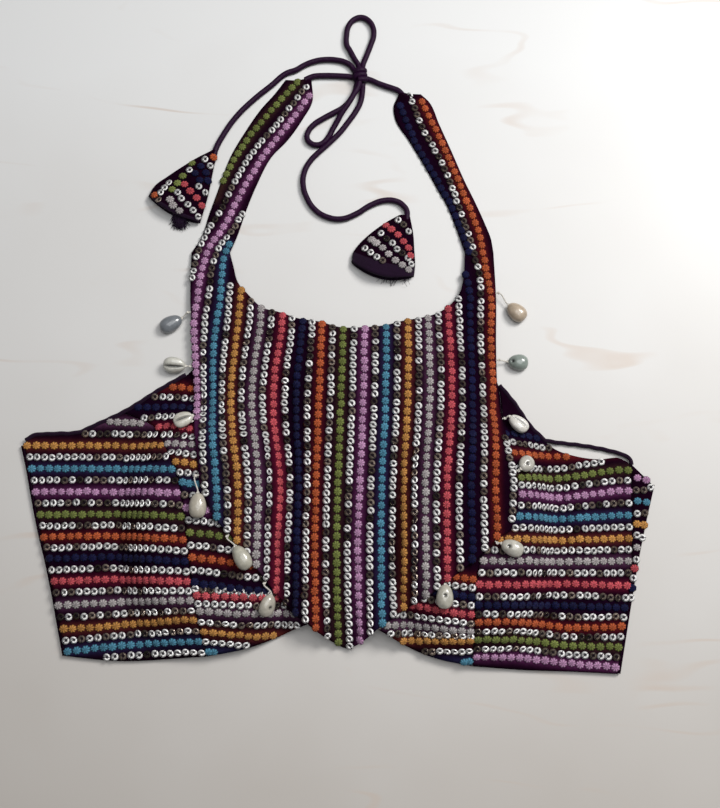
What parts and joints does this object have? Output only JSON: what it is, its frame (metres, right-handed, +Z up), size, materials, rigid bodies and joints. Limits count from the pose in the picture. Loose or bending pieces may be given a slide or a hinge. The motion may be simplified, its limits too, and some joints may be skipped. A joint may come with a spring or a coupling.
{
  "type": "choli blouse",
  "caption": "Backless halter choli blouse laid flat, with an embroidered front overlay, neck straps, a tied cord with cloth tassels, and shells along the overlay's edge.",
  "frame": {"origin": "on the back band's underside, on the surface that the blouse lies on, in line with the hem", "axes": "+X to the right of the picture, +Y from the hem towards the neck, +Z up from the surface"},
  "size_m": [0.4251, 0.4647, 0.0335],
  "materials": {
    "overlay_cloth": "embroidered cotton, sequins and raised stitches",
    "body_cloth": "embroidered cotton, sequins and raised stitches",
    "piping_cloth": "plain cotton bias, corded",
    "satin_cord": "rolled satin, half gloss",
    "tassel_cloth": "embroidered cotton, plain lining",
    "thread_tuft": "frayed thread ends",
    "cowrie_shell": "polished natural shell",
    "tie_thread": "white cotton thread"
  },
  "bodies": {
    "root": {"front_panel": "overlay_cloth", "strap_left": "overlay_cloth", "strap_right": "overlay_cloth", "cup_left": "body_cloth", "cup_right": "body_cloth", "wing_left": "body_cloth", "wing_right": "body_cloth", "back_left": "body_cloth", "back_right": "body_cloth", "armhole_binding_left": "piping_cloth", "armhole_piping_right": "piping_cloth", "neck_cord_left": "satin_cord", "neck_cord_right": "satin_cord", "bow_knot": "satin_cord", "bow_loop_up": "satin_cord", "bow_loop_side": "satin_cord", "tail_left": "satin_cord", "tail_right": "satin_cord", "tassel_left": "tassel_cloth", "tassel_right": "tassel_cloth", "tuft_left": "thread_tuft", "tuft_right": "thread_tuft", "cowrie_left_1": "cowrie_shell", "thread_left_1": "tie_thread", "cowrie_left_2": "cowrie_shell", "thread_left_2": "tie_thread", "cowrie_left_3": "cowrie_shell", "thread_left_3": "tie_thread", "cowrie_left_4": "cowrie_shell", "thread_left_4": "tie_thread", "cowrie_left_5": "cowrie_shell", "thread_left_5": "tie_thread", "cowrie_left_6": "cowrie_shell", "thread_left_6": "tie_thread", "cowrie_right_1": "cowrie_shell", "thread_right_1": "tie_thread", "cowrie_right_2": "cowrie_shell", "thread_right_2": "tie_thread", "cowrie_right_3": "cowrie_shell", "thread_right_3": "tie_thread", "cowrie_right_4": "cowrie_shell", "thread_right_4": "tie_thread", "cowrie_right_5": "cowrie_shell", "thread_right_5": "tie_thread", "cowrie_right_6": "cowrie_shell", "thread_right_6": "tie_thread"}
  },
  "joints": []
}
